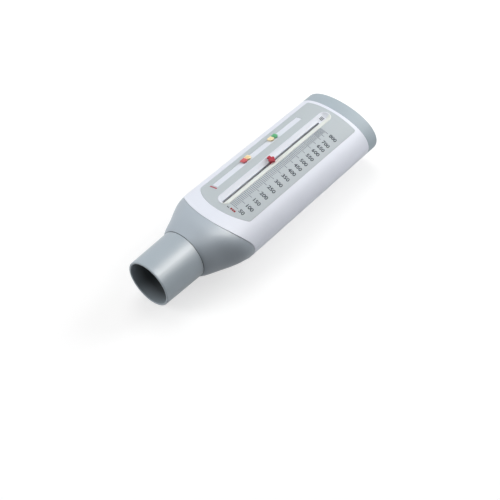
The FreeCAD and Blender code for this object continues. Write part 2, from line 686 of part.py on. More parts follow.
under_plate("PointerFoot", "pointer_foot", FOOT_TOP, "Size.foot_wall", "Size.foot_length", "Size.foot_width")
under_plate("PointerBrake", "pointer_brake", TRACK_BOTTOM + " - Size.seam / 2", "Size.brake_wall",
            "(Size.foot_length - Size.foot_wall)", "(Size.foot_width - Size.foot_wall)")

# Barrel: a thin tube whose top slot lets air out as the piston uncovers it
barrel = turned("Barrel", [
    ("Size.barrel_front", "Size.barrel_bore"),
    ("Size.barrel_front", BARREL_RADIUS),
    (BARREL_REAR, BARREL_RADIUS),
    (BARREL_REAR, "Size.barrel_bore"),
])
slot_front = "Size.piston_front - 2 * Size.slip"
slot_rear = FULL_TRAVEL + " + Size.piston_wall + Size.slot_overrun"
slot_side = "Size.finger_width / 2 + Size.slip"
pocket(barrel, "XY_Plane", [
    (slot_front, "-(%s)" % slot_side),
    (slot_front, slot_side),
    (slot_rear, slot_side),
    (slot_rear, "-(%s)" % slot_side),
], "0", "2 * Size.barrel_bore")
finish(barrel, "barrel")

gasket = turned("Gasket", [
    ("Size.barrel_front - Size.gasket_wall", "Size.barrel_bore"),
    ("Size.barrel_front - Size.gasket_wall", BARREL_RADIUS),
    ("Size.barrel_front", BARREL_RADIUS),
    ("Size.barrel_front", "Size.barrel_bore"),
])
finish(gasket, "barrel_gasket")

# Piston: a disc with a skirt, a hub on the rod and the finger that drives the pointer
piston_back = "Size.piston_front + Size.piston_wall"
piston_edge = "Size.barrel_bore - Size.slip"
bush_hole = "Size.bush_radius + Size.seam / 2"
piston = turned("Piston", [
    ("Size.piston_front", bush_hole),
    ("Size.piston_front", piston_edge),
    ("Size.piston_front + Size.piston_skirt", piston_edge),
    ("Size.piston_front + Size.piston_skirt", piston_edge + " - Size.barrel_wall"),
    (piston_back, piston_edge + " - Size.barrel_wall"),
    (piston_back, "Size.hub_radius"),
    ("Size.piston_front + Size.hub_length", "Size.hub_radius"),
    ("Size.piston_front + Size.hub_length", bush_hole),
])
finger_top = STEM_LOW + " - Size.finger_gap"
pad(piston, "YZ_Plane", [
    ("-Size.finger_width / 2", piston_edge + " - 2"),
    ("-Size.finger_width / 2", finger_top),
    ("Size.finger_width / 2", finger_top),
    ("Size.finger_width / 2", piston_edge + " - 2"),
], "Size.piston_front", "Size.piston_wall")
finish(piston, "piston")

bush = turned("Bush", [
    ("Size.piston_front", "Size.rod_radius + Size.slip / 2"),
    ("Size.piston_front", "Size.bush_radius"),
    ("Size.piston_front + Size.hub_length", "Size.bush_radius"),
    ("Size.piston_front + Size.hub_length", "Size.rod_radius + Size.slip / 2"),
])
finish(bush, "piston_bush")


# The rod is carried by a three-spoked spider at each end of the barrel
def spider(name, label, station):
    ring = bar(name + "Ring", "Size.barrel_bore - Size.seam", station, "Size.spider_wall")
    inside = bar(name + "Inside", "Size.barrel_bore - Size.seam - Size.spoke_width",
                 station + " - 1", "Size.spider_wall + 2")
    pieces = [cut(name + "Hoop", ring, inside)]
    pieces.append(bar(name + "Hub", "Size.hub_radius", station, "Size.spider_hub"))
    for i in range(3):
        spoke = doc.addObject("Part::Box", "%sSpoke%d" % (name, i))
        spoke.Placement.Rotation = Rotation(Vector(1, 0, 0), 120 * i)
        bind(spoke, Length="Size.spider_wall", Height="Size.barrel_bore - Size.seam - Size.spoke_width / 2")
        bind(spoke, Width="Size.spoke_width", x=station)
        bind(spoke, y="-Size.spoke_width / 2 * cos(%d)" % (120 * i))
        bind(spoke, z="-Size.spoke_width / 2 * sin(%d)" % (120 * i))
        pieces.append(spoke)
    hole = bar(name + "Hole", "Size.rod_radius + Size.seam / 2", station + " - 1", "Size.spider_hub + 2")
    finish(cut(name, fuse(name + "Solid", pieces), hole), label)


spider("FrontSpider", "front_spider", "Size.spider_front")
spider("RearSpider", "rear_spider", REAR_SPIDER)

clip_front = "Size.spider_front - Size.clip_wall - Size.seam"
clip_rear = REAR_SPIDER + " + Size.spider_hub + Size.seam"
rod = bar("GuideRod", "Size.rod_radius", "0",
          "%s - (%s) + Size.clip_wall + 2 * Size.rod_end" % (clip_rear, clip_front))
finish(rod, "guide_rod", x=clip_front + " - Size.rod_end")

clips = []
for side, station in (("Front", clip_front), ("Rear", clip_rear)):
    disc = bar("Clip" + side, "Size.clip_radius", station, "Size.clip_wall")
    eye = bar("ClipEye" + side, "Size.rod_radius + Size.seam / 4", station + " - 1", "Size.clip_wall + 2")
    clips.append(cut("RodClip" + side, disc, eye))
rod_clips = doc.addObject("Part::Compound", "RodClips")
rod_clips.Links = clips
finish(rod_clips, "rod_clips")

buffer_ring = turned("Buffer", [
    (REAR_SPIDER + " - Size.buffer_length - Size.seam", "Size.rod_radius + Size.seam"),
    (REAR_SPIDER + " - Size.buffer_length - Size.seam", "Size.buffer_radius"),
    (REAR_SPIDER + " - Size.seam", "Size.buffer_radius"),
    (REAR_SPIDER + " - Size.seam", "Size.rod_radius + Size.seam"),
])
finish(buffer_ring, "travel_buffer")

# Return spring: a light coil that pulls the piston back towards the front spider
spring_front = "Size.spider_front + Size.spider_hub + Size.wire_radius + Size.seam"
spring_run = size.piston_front - size.spider_front - size.spider_hub - 2 * size.wire_radius - 2 * size.seam
bends = int(size.spring_turns * size.turn_bends)
path = []
for i in range(bends + 1):
    turn = 2 * math.pi * i / size.turn_bends
    path.append(Vector(spring_run * i / bends, size.spring_radius * math.cos(turn),
                       size.spring_radius * math.sin(turn)))
circle = Part.makeCircle(size.wire_radius, path[0], path[1] - path[0])
section = Part.makePolygon([circle.valueAt(math.pi / 3 * i) for i in range(7)])
sweep = Part.BRepOffsetAPI.MakePipeShell(Part.makePolygon(path))
sweep.setTransitionMode(1)
sweep.add(section)
sweep.build()
sweep.makeSolid()
spring = doc.addObject("Part::Feature", "ReturnSpring")
spring.Shape = sweep.shape()
finish(spring, "return_spring", x=spring_front)

doc.recompute()
for item in doc.Objects:
    for state in item.State:
        if state in ("Invalid", "Error"):
            raise RuntimeError("%s (%s) is %s" % (item.Name, item.Label, state))
for item in parts:
    if item.Shape.isNull() or not item.Shape.isValid() or not item.Shape.Solids:
        raise RuntimeError("%s has no valid solid" % item.Label)

os.makedirs("parts", exist_ok=True)
for item in parts:
    item.Shape.exportStep("parts/%s.step" % item.Label)
    print("%-18s %d solid(s) %9.1f mm3" % (item.Label, len(item.Shape.Solids), item.Shape.Volume))
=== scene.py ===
# Peak flow meter: finishes, printed scale, floor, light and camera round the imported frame.
# Lengths in the dictionaries are millimetres, and a station is the distance along X from the lip of
# the mouthpiece.
import bmesh
import bpy
import math
from mathutils import Matrix, Vector


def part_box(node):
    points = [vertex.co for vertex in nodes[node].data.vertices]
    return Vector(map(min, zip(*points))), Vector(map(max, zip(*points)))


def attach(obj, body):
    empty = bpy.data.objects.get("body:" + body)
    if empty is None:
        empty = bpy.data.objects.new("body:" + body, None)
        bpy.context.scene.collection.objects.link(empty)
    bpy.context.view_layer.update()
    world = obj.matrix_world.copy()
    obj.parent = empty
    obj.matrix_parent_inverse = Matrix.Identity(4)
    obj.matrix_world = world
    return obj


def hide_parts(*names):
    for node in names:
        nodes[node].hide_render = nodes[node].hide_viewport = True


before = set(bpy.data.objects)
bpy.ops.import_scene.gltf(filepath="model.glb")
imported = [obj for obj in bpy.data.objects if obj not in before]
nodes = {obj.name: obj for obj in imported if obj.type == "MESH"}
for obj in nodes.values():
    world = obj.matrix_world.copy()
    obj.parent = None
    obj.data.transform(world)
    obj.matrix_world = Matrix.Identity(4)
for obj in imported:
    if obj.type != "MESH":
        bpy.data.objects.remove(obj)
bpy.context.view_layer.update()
mm = 0.001
print("stage: frame loaded,", len(nodes), "nodes")


# where things are, worked out from the frame
def boxOf(name):
    low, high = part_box(name)
    return Vector(low), Vector(high)


shellLow, shellHigh = boxOf("front_shell")
trackLow, trackHigh = boxOf("pointer_track")
lipX = boxOf("mouthpiece")[0].x

halfWidth = (shellHigh.y - shellLow.y) / 2
halfSeam = 0.06 * mm
axisZ = shellLow.z - halfSeam
halfHeight = shellHigh.z - axisZ
trackMiddle = (trackLow.y + trackHigh.y) / 2


def stationX(station):
    return lipX + station * mm


def skinZ(y):  # height of the oval body's front over a place across it
    return axisZ + halfHeight * math.sqrt(1 - (y / halfWidth) ** 2)


# shader maths on sockets, written as plain Python sums
class Wire:
    def __init__(self, finish, socket):
        self.finish = finish
        self.socket = socket

    def sum(self, operation, a, b, clamp=False):
        return self.finish.node("ShaderNodeMath", {"operation": operation, "use_clamp": clamp}, [a, b])

    def __add__(self, other):
        return self.sum("ADD", self, other)

    def __radd__(self, other):
        return self.sum("ADD", other, self)

    def __sub__(self, other):
        return self.sum("SUBTRACT", self, other)

    def __rsub__(self, other):
        return self.sum("SUBTRACT", other, self)

    def __mul__(self, other):
        return self.sum("MULTIPLY", self, other)

    def __rmul__(self, other):
        return self.sum("MULTIPLY", other, self)

    def __truediv__(self, other):
        return self.sum("DIVIDE", self, other)

    def __pow__(self, other):
        return self.sum("POWER", self, other)

    def __gt__(self, other):
        return self.sum("GREATER_THAN", self, other)

    def __lt__(self, other):
        return self.sum("LESS_THAN", self, other)

    def clamped(self):
        return self.sum("ADD", self, 0.0, clamp=True)


# in each finish, a pair of numbers is the size of a noise's lumps in millimetres and its detail
plasticIor = 1.5
rubLook = {"lines": (0.16, 2), "stretch": (0.035, 1, 1), "threshold": 0.69}


# a material, or a world, whose nodes are made by one method
class Finish:
    def __init__(self, name, owner=None):
        self.material = owner or bpy.data.materials.new(name)
        self.material.use_nodes = True
        self.tree = self.material.node_tree
        self.surface = next(n for n in self.tree.nodes if n.type in ("BSDF_PRINCIPLED", "BACKGROUND"))
        self.place = Wire(self, self.tree.nodes.new("ShaderNodeTexCoord").outputs["Object"])

    def put(self, socket, value):
        if isinstance(value, Wire):
            self.tree.links.new(value.socket, socket)
        elif socket.type == "RGBA" and len(value) == 3:
            socket.default_value = (*value, 1)
        else:
            socket.default_value = value

    def node(self, kind, settings=None, inputs=None, output=0):
        item = self.tree.nodes.new(kind)
        for key, value in (settings or {}).items():
            setattr(item, key, value)
        pairs = enumerate(inputs) if isinstance(inputs, list) else (inputs or {}).items()
        for key, value in pairs:
            self.put(item.inputs[key], value)
        return Wire(self, item.outputs[output])

    def noise(self, size, detail=2.0, place=None):  # size of its lumps in millimetres
        return self.node("ShaderNodeTexNoise", None,
                         {"Vector": place or self.place, "Scale": 1 / (size * mm), "Detail": detail})

    def stretched(self, scale, turn=0.0):  # coordinates drawn out along X by a scale under 1
        return self.node("ShaderNodeMapping", {"vector_type": "POINT"},
                         {"Vector": self.place, "Rotation": (0, 0, turn), "Scale": scale})

    def mix(self, factor, a, b, blend="MIX"):
        item = self.tree.nodes.new("ShaderNodeMix")
        item.data_type = "RGBA"
        item.blend_type = blend
        self.put(item.inputs["Factor"], factor)
        for label, value in (("A", a), ("B", b)):
            self.put(next(s for s in item.inputs if s.name == label and s.type == "RGBA"), value)
        return Wire(self, next(s for s in item.outputs if s.type == "RGBA"))

    def axis(self, which):
        return self.node("ShaderNodeSeparateXYZ", None, [self.place], which)

    def radius(self):  # distance from the meter's own axis
        across = self.axis(1)
        up = self.axis(2) - axisZ
        return (across * across + up * up) ** 0.5

    def bump(self, height, depth):  # depth in millimetres
        return self.node("ShaderNodeBump", None,
                         {"Height": height, "Distance": depth * mm, "Strength": 1.0})

    def hairlines(self, turn):  # fine rub marks, mostly along the meter
        lines = self.noise(*rubLook["lines"], self.stretched(rubLook["stretch"], turn))
        return lines > rubLook["threshold"]

    def set(self, **values):
        for key, value in values.items():
            self.put(self.surface.inputs[key.replace("_", " ")], value)
        return self


def shade(r, g, b):  # a colour seen on screen, as the shader wants it
    return tuple(((c / 255 + 0.055) / 1.055) ** 2.4 if c > 10 else c / 255 / 12.92 for c in (r, g, b))


def tinted(colour, factor):
    return tuple(min(1.0, c * factor) for c in colour)


# smooth moulded plastic: a faint cloudiness, a spark-eroded grain, uneven gloss and fine rub marks, and
# inside a bore painted shade that darkens deeper in
plasticLook = {
    "clouds": (14, 3), "cloudTint": 0.03, "cloudGloss": 0.10,
    "fine": (0.35, 2), "fineDepth": 0.004, "fineGloss": 0.05,
    "rubTurn": 0.12, "rubGloss": 0.06,
}


def cloudy(f, clouds, colour, tint):  # the colour, a little darker and paler in turns
    return f.mix(clouds, tinted(colour, 1 - tint), tinted(colour, 1 + tint))


def mouldedPlastic(name, colour, gloss, shine=0.5, paintedBoreShade=None):
    f = Finish(name)
    look = plasticLook
    clouds = f.noise(*look["clouds"])
    fine = f.noise(*look["fine"])
    marks = f.hairlines(look["rubTurn"])
    body = cloudy(f, clouds, colour, look["cloudTint"])
    # painted shade: the inside of the bore darkens with depth from the lip, as shade deepens away from the
    # opening
    if paintedBoreShade:
        boreShadeDepth = ((f.axis(0) - (lipX + paintedBoreShade["from"] * mm)) / (paintedBoreShade["run"] * mm)).clamped()
        body = f.mix((f.radius() < paintedBoreShade["radius"] * mm) * boreShadeDepth, body, paintedBoreShade["colour"])
    rough = gloss + look["cloudGloss"] * (clouds - 0.5) + look["fineGloss"] * (fine - 0.5)
    f.set(Base_Color=body, Roughness=rough + look["rubGloss"] * marks)
    f.set(Normal=f.bump(fine, look["fineDepth"]), IOR=plasticIor, Specular_IOR_Level=shine)
    return f


greyBlue = shade(168, 180, 188)
whiteShell = shade(226, 230, 240)
plastics = {
    # the bore colours of the mouthpiece and the neck are painted shade inside them
    "mouthpiece": {"colour": shade(163, 174, 182), "gloss": 0.44, "shine": 0.55,
                   "paintedBoreShade": {"radius": 13.8, "from": 0.3, "run": 8, "colour": shade(84, 88, 92)}},
    "neck": {"colour": shade(170, 180, 189), "gloss": 0.44, "shine": 0.4,
             "paintedBoreShade": {"radius": 14.7, "from": 24, "run": 1, "colour": shade(60, 64, 68)}},
    "end_cap": {"colour": greyBlue, "gloss": 0.55, "shine": 0.15},
    "front_shell": {"colour": whiteShell, "gloss": 0.52, "shine": 0.25},
    "rear_shell": {"colour": whiteShell, "gloss": 0.52, "shine": 0.25},
    "marker_rail": {"colour": shade(219, 224, 233), "gloss": 0.44, "shine": 0.3},
    "pointer_foot": {"colour": shade(205, 208, 212), "gloss": 0.40},
    "front_spider": {"colour": shade(120, 122, 126), "gloss": 0.42},
    "rear_spider": {"colour": shade(205, 208, 212), "gloss": 0.42},
    "barrel": {"colour": shade(140, 128, 116), "gloss": 0.30},
    "piston": {"colour": shade(206, 204, 200), "gloss": 0.35},
    "piston_bush": {"colour": shade(190, 186, 170), "gloss": 0.45},
}


def dress(name, finish):
    mesh = nodes[name].data
    mesh.materials.clear()
    mesh.materials.append(finish.material)


def dressPlastics():
    for name, look in plastics.items():
        dress(name, mouldedPlastic(name + "_finish", **look))


# the scale plate: pale grey printed film, matt
plateLook = {
    "colour": shade(186, 194, 198), "gloss": 0.62, "shine": 0.15,
    "clouds": (22, 2), "cloudTint": 0.015,
    "fine": (0.22, 3), "fineDepth": 0.003, "fineGloss": 0.08,
    "rubTurn": 0.3, "rubGloss": 0.06,
}


def dressPlate():
    f = Finish("plate_finish")
    look = plateLook
    fine = f.noise(*look["fine"])
    marks = f.hairlines(look["rubTurn"])
    rough = look["gloss"] + look["fineGloss"] * (fine - 0.5) + look["rubGloss"] * marks
    colour = cloudy(f, f.noise(*look["clouds"]), look["colour"], look["cloudTint"])
    f.set(Base_Color=colour, Roughness=rough, Normal=f.bump(fine, look["fineDepth"]))
    f.set(IOR=plasticIor, Specular_IOR_Level=look["shine"])
    dress("scale_plate", f)
    return f.material


# the pointer track: smooth white, with painted light on the side of the scale, a cream tint as on the slope
# that faces the lamps
trackLook = {
    "colour": shade(218, 222, 230), "gloss": 0.50, "shine": 0.1,
    "paintedLightTint": shade(222, 226, 221), "paintedLightFrom": 0.4, "paintedLightRun": 0.8,
    "clouds": (9, 2), "cloudWhite": 0.04, "cloudGloss": 0.06,
    "fine": (0.5, 2), "fineDepth": 0.002,
    "rubTurn": 0.05, "rubGloss": 0.05,
}


def dressTrack():
    f = Finish("track_finish")
    look = trackLook
    clouds = f.noise(*look["clouds"])
    marks = f.hairlines(look["rubTurn"])
    # painted light: the side of the scale is tinted cream, as if warmly lit
    paintedLightFrom = trackMiddle - look["paintedLightFrom"] * mm
    paintedLightSide = ((paintedLightFrom - f.axis(1)) / (look["paintedLightRun"] * mm)).clamped()
    colour = f.mix(paintedLightSide, look["colour"], look["paintedLightTint"])
    colour = f.mix(look["cloudWhite"] * clouds, colour, (1, 1, 1))
    rough = look["gloss"] + look["cloudGloss"] * (clouds - 0.5) + look["rubGloss"] * marks
    f.set(Base_Color=colour, Roughness=rough, IOR=plasticIor, Specular_IOR_Level=look["shine"])
    f.set(Normal=f.bump(f.noise(*look["fine"]), look["fineDepth"]))
    dress("pointer_track", f)
    return f.material


# zone markers: moulded in two colours that meet in the middle
markerLooks = {
    "low_zone_marker": {"front": shade(214, 94, 100), "rear": shade(246, 224, 176)},
    "high_zone_marker": {"front": shade(248, 230, 188), "rear": shade(84, 180, 122)},
}


markerFinish = {
    "gloss": 0.36, "seamWander": 0.12,
    "clouds": (3, 2), "cloudWhite": 0.08,
    "fine": (0.25, 2), "fineDepth": 0.003, "fineGloss": 0.08,
}


def dressMarkers():
    plain = markerFinish
    for name, look in markerLooks.items():
        low, high = boxOf(name)
        f = Finish(name + "_finish")
        clouds = f.noise(*plain["clouds"])
        fine = f.noise(*plain["fine"])
        seam = (f.axis(0) + plain["seamWander"] * mm * (clouds - 0.5)) > (low.x + high.x) / 2
        colour = f.mix(seam, look["front"], look["rear"])
        colour = f.mix(plain["cloudWhite"] * clouds, colour, (1, 1, 1))
        f.set(Base_Color=colour, Roughness=plain["gloss"] + plain["fineGloss"] * (fine - 0.5))
        f.set(Normal=f.bump(fine, plain["fineDepth"]), IOR=plasticIor)
        dress(name, f)


# the pointer: glossy red
pointerLook = {
    "dark": shade(158, 18, 44), "bright": shade(184, 30, 56),
    "gloss": 0.28, "coat": 0.3, "coatGloss": 0.1,
    "clouds": (2.5, 2), "cloudGloss": 0.08,
    "fine": (0.6, 2), "fineDepth": 0.003,
}


def dressPointer():
    f = Finish("pointer_finish")
    look = pointerLook
    clouds = f.noise(*look["clouds"])
    f.set(Base_Color=f.mix(clouds, look["dark"], look["bright"]), IOR=plasticIor)
    f.set(Roughness=look["gloss"] + look["cloudGloss"] * (clouds - 0.5))
    f.set(Coat_Weight=look["coat"], Coat_Roughness=look["coatGloss"])
    f.set(Normal=f.bump(f.noise(*look["fine"]), look["fineDepth"]))
    dress("pointer", f)


# rubber, felt and steel, which are mostly inside
rubberLook = {"dark": shade(38, 39, 41), "pale": shade(56, 57, 60), "gloss": 0.62,
              "grit": (0.3, 3), "gritDepth": 0.01, "gritGloss": 0.2}
feltLook = {"dark": shade(120, 118, 112), "pale": shade(176, 172, 164), "gloss": 0.95, "sheen": 0.4,
            "fibre": (0.12, 6), "fibreDepth": 0.05}
steelLook = {"dark": shade(168, 170, 172), "pale": shade(205, 206, 208), "gloss": 0.26,
             "lines": (0.12, 3), "stretch": (0.05, 1, 1), "lineDepth": 0.002, "lineGloss": 0.14}


def rubberFinish(name, dark, pale):
    f = Finish(name)
    look = rubberLook
    grit = f.noise(*look["grit"])
    f.set(Base_Color=f.mix(grit, dark, pale), Roughness=look["gloss"] + look["gritGloss"] * (grit - 0.5))
    return f.set(Normal=f.bump(grit, look["gritDepth"]))


def dressSoftParts():
    rubber = rubberFinish("rubber_finish", rubberLook["dark"], rubberLook["pale"])
    dress("barrel_gasket", rubber)
    dress("travel_buffer", rubber)
    felt = Finish("felt_finish")
    look = feltLook
    fibre = felt.noise(*look["fibre"])
    felt.set(Base_Color=felt.mix(fibre, look["dark"], look["pale"]), Roughness=look["gloss"])
    felt.set(Normal=felt.bump(fibre, look["fibreDepth"]), Sheen_Weight=look["sheen"])
    dress("pointer_brake", felt)


def dressMetals():
    f = Finish("drawn_steel")
    look = steelLook
    lines = f.noise(*look["lines"], f.stretched(look["stretch"]))
    f.set(Base_Color=f.mix(lines, look["dark"], look["pale"]), Metallic=1.0)
    f.set(Roughness=look["gloss"] + look["lineGloss"] * (lines - 0.5))
    f.set(Normal=f.bump(lines, look["lineDepth"]))
    for name in ("guide_rod", "return_spring", "rod_clips"):
        dress(name, f)


# ink: a flat print with slightly uneven cover
inkLook = {"gloss": 0.5, "shine": 0.2, "ior": 1.45, "cover": (0.5, 3), "coverTint": 1.3, "coverGloss": 0.1}


def ink(name, colour):
    f = Finish(name)
    look = inkLook
    cover = f.noise(*look["cover"])
    f.set(Base_Color=f.mix(cover, colour, tinted(colour, look["coverTint"])), IOR=look["ior"])
    f.set(Roughness=look["gloss"] + look["coverGloss"] * (cover - 0.5))
    return f.set(Specular_IOR_Level=look["shine"]).material


dressPlastics()
plateFinish = dressPlate()
trackFinish = dressTrack()
dressMarkers()
dressPointer()
dressSoftParts()
dressMetals()
print("stage: frame dressed")


# helpers for new pieces
def clearSelection():
    if bpy.context.object and bpy.context.object.mode != "OBJECT":
        bpy.ops.object.mode_set(mode="OBJECT")
    bpy.ops.object.select_all(action="DESELECT")


def pick(item):
    clearSelection()
    item.select_set(True)
    bpy.context.view_layer.objects.active = item
    return item


def joined(items, name):
    clearSelection()
    for item in items:
        item.select_set(True)
    bpy.context.view_layer.objects.active = items[0]
    if len(items) > 1:
        bpy.ops.object.join()
    whole = bpy.context.object
    whole.name = name
    return whole


def bakePlace(item):  # puts the object's place into its mesh
    pick(item)
    bpy.ops.object.transform_apply(location=True, rotation=True, scale=True)


def seat(item, material, body):
    item.data.materials.clear()
    item.data.materials.append(material)
    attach(item, body)
    return item


printLook = {"lift": 0.006, "wall": 0.028}


def finishPrint(item, material, height=skinZ, wall=printLook["wall"], side=1.0):
    # drapes a flat print and gives it a wall, above it or (side -1) under it
    bakePlace(item)
    for v in item.data.vertices:
        v.co.z = height(v.co.y) + printLook["lift"] * mm
    pick(item)
    solid = item.modifiers.new("wall", "SOLIDIFY")
    solid.thickness = wall * mm
    solid.offset = side
    bpy.ops.object.modifier_apply(modifier=solid.name)
    return seat(item, material, "meter")


def flatStrip(x, y, length, width, cuts=5):  # a flat strip along Y, fine enough to drape
    clearSelection()
    bpy.ops.mesh.primitive_grid_add(x_subdivisions=1, y_subdivisions=cuts, size=1, location=(x, y, 0))
    strip = bpy.context.object
    strip.scale = (width * mm, length * mm, 1)
    clearSelection()
    return strip


# the printed scale: ticks every 10 with longer ones at the numbers, closing up towards its end
scaleLook = {
    "stations": {50: 61.8, 100: 67.4, 150: 73.4, 200: 79.7, 250: 86.2, 300: 92.5, 350: 98.6, 400: 104.4,
                 450: 109.8, 500: 115.1, 550: 120.7, 600: 126.1, 650: 130.9, 700: 135.6, 800: 142.4},
    "first": 50, "last": 800, "step": 10, "longStep": 50,
    "tickStart": 3.85, "tickEnd": 7.9, "longEnd": 9.7,
    "tickWidth": 0.30, "longWidth": 0.32,
    "numberSize": 3.35, "numberStart": 10.4, "numberDrift": 0.7, "bold": 0.09,
}


def scaleStation(value):
    spots = sorted(scaleLook["stations"].items())
    for (low, start), (high, end) in zip(spots, spots[1:]):
        if value <= high:
            return start + (end - start) * (value - low) / (high - low)
    return spots[-1][1]


def printTicks():
    look = scaleLook
    ticks = []
    for value in range(look["first"], look["last"] + 1, look["step"]):
        long = value % look["longStep"] == 0
        far = look["longEnd"] if long else look["tickEnd"]
        width = look["longWidth"] if long else look["tickWidth"]
        middle = -(far + look["tickStart"]) / 2 * mm
        ticks.append(flatStrip(stationX(scaleStation(value)), middle, far - look["tickStart"], width))
    return finishPrint(joined(ticks, "scale_ticks"), tickInk)


def printNumbers():
    look = scaleLook
    numbers = []
    for value in look["stations"]:
        clearSelection()
        bpy.ops.object.text_add(location=(0, 0, 0))
        text = bpy.context.object
        text.data.body = str(value)
        text.data.size = look["numberSize"] * mm
        text.data.offset = look["bold"] * mm
        text.data.align_x = "LEFT"
        text.data.align_y = "CENTER"
        text.rotation_euler = (0, 0, -math.pi / 2)
        across = look["numberStart"] + look["numberDrift"] * value / look["last"]
        text.location = (stationX(scaleStation(value)), -across * mm, 0)
        bpy.ops.object.convert(target="MESH")
        numbers.append(bpy.context.object)
    return finishPrint(joined(numbers, "scale_numbers"), numberInk)


tickInk = ink("tick_ink", shade(108, 114, 124))
numberInk = ink("number_ink", shade(70, 76, 84))
redInk = ink("red_ink", shade(138, 46, 54))
fadedInk = ink("faded_red_ink", shade(160, 88, 100))
darkInk = ink("dark_ink", shade(70, 74, 80))

printTicks()
printNumbers()
print("stage: scale printed")


# the track as it looks: a dished white insert with a narrow raised rim, on an apron flush with the plate
# each ring: the stations of its ends, half its width, its middle, and how high it lies over the
# body's skin or over the lowest point of the track
insertRings = (
    (57.70, 156.10, 5.20, 0.00, "skin", 0.002),
    (57.90, 155.90, 4.10, 0.30, "skin", 0.002),
    (58.00, 155.80, 3.98, 0.30, "skin", 0.22),
    (58.18, 155.62, 3.80, 0.30, "skin", 0.27),
    (58.55, 155.25, 3.45, 0.30, "skin", 0.25),
    (58.75, 155.05, 3.25, 0.30, "skin", 0.12),
    (59.30, 152.60, 1.00, 0.15, "low", 1.80),
    (59.50, 146.40, 0.75, 0.15, "low", 1.77),
    (59.50, 146.40, 0.75, 0.15, "low", 0.00),
    (56.50, 157.30, 6.40, 0.00, "low", 0.00),
    (56.50, 157.30, 6.40, 0.00, "low", 0.80),
    (57.90, 155.90, 5.00, 0.00, "low", 0.80),
    (57.90, 155.90, 5.00, 0.00, "skin", -0.10),
)
insertLook = {"bends": 20, "smooth": 30, "edgeRing": 5, "floorRing": 6}  # rings are counted from 0


def ringPoint(ring, turn, side):  # a point of the round end at the rear (side 1) or the front (-1)
    front, rear, half, middle, base, rise = ring
    y = (middle + half * math.cos(turn) * side) * mm
    centre = rear - half if side > 0 else front + half
    x = stationX(centre + half * math.sin(turn) * side)
    level = skinZ(y) if base == "skin" else trackLow.z
    return x, y, level + rise * mm


def buildTrackInsert():
    net = bmesh.new()
    bends = insertLook["bends"]
    turns = [(math.pi * i / bends, side) for side in (1, -1) for i in range(bends + 1)]
    loops = []
    for ring in insertRings:
        loops.append([net.verts.new(ringPoint(ring, turn, side)) for turn, side in turns])
    for index, loop in enumerate(loops):
        following = loops[(index + 1) % len(loops)]
        for i in range(len(loop)):
            j = (i + 1) % len(loop)
            net.faces.new((loop[i], loop[j], following[j], following[i]))
    mesh = bpy.data.meshes.new("track_insert")
    bmesh.ops.recalc_face_normals(net, faces=net.faces)
    net.to_mesh(mesh)
    net.free()
    insert = bpy.data.objects.new("track_insert", mesh)
    bpy.context.collection.objects.link(insert)
    pick(insert)
    bpy.ops.object.shade_smooth_by_angle(angle=math.radians(insertLook["smooth"]))
    seat(insert, trackFinish, "meter")
    mesh.materials.append(plateFinish)
    for face in mesh.polygons[:len(turns)]:
        face.material_index = 1
    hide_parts("pointer_track")


def troughZ(y):  # height of the insert's dish over a place across it
    floorHalf, floorMiddle, floorRise = [insertRings[insertLook["floorRing"]][i] for i in (2, 3, 5)]
    rimHalf, rimRise = [insertRings[insertLook["edgeRing"]][i] for i in (2, 5)]
    level = trackLow.z + floorRise * mm
    slope = (skinZ(0) + rimRise * mm - level) / ((rimHalf - floorHalf) * mm)
    return level + slope * max(0.0, abs(y - floorMiddle * mm) - floorHalf * mm)


# the marker rail as it looks: a white bed just under the plate, whose far edge the plate's lip covers
railLook = {
    "middle": 12.15, "front": 66.64, "rear": 142.36, "wall": 0.3, "cuts": 8,
    "bed": {"low": 9.90, "high": 14.25, "sink": 0.2},
    "lip": {"low": 14.05, "high": 14.50, "sink": -0.004},
    "markerGap": 0.02,
}


def buildRailStrip(name, material, low, high, sink):
    look = railLook
    middle = stationX((look["front"] + look["rear"]) / 2)
    length = look["rear"] - look["front"]
    strip = flatStrip(middle, (low + high) / 2 * mm, high - low, length, look["cuts"])
    strip.name = name
    return finishPrint(strip, material, lambda y: skinZ(y) - sink * mm, look["wall"], -1.0)


def buildMarkerTop(node, body):  # the part of a zone marker that stands over the bed
    y = railLook["middle"] * mm
    lean = Vector((0, y / halfWidth ** 2, (skinZ(y) - axisZ) / halfHeight ** 2)).normalized()
    level = (railLook["markerGap"] - railLook["bed"]["sink"]) * mm
    top = bpy.data.objects.new(node + "_top", nodes[node].data.copy())
    bpy.context.collection.objects.link(top)
    top.matrix_world = nodes[node].matrix_world
    bakePlace(top)
    bpy.ops.object.mode_set(mode="EDIT")
    bpy.ops.mesh.select_all(action="SELECT")
    bpy.ops.mesh.bisect(plane_co=Vector((0, y, skinZ(y))) + lean * level, plane_no=lean,
                        use_fill=True, clear_inner=True)
    bpy.ops.object.mode_set(mode="OBJECT")
    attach(top, body)
    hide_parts(node)


buildTrackInsert()
buildRailStrip("rail_bed", nodes["marker_rail"].data.materials[0], **railLook["bed"])
buildRailStrip("rail_lip", plateFinish, **railLook["lip"])
buildMarkerTop("low_zone_marker", "low_marker")
buildMarkerTop("high_zone_marker", "high_marker")
print("stage: track insert and rail")


# small bare marks that stand where the real one has words
markLook = {
    "redBars": {"station": 59.1, "across": (-6.9, -8.1, -9.3), "length": 1.0, "width": 1.25},
    "darkBars": {"station": 58.8, "across": (-4.5, -5.3), "length": 0.5, "width": 0.9},
    "grooveBar": {"station": 65.2, "across": (11.75,), "length": 5.0, "width": 1.0},
    "unitBars": {"stations": (149.3, 150.3, 151.3), "across": 0.9, "length": 2.3, "width": 0.5},
    "plateCuts": 6, "dishCuts": 12,
}


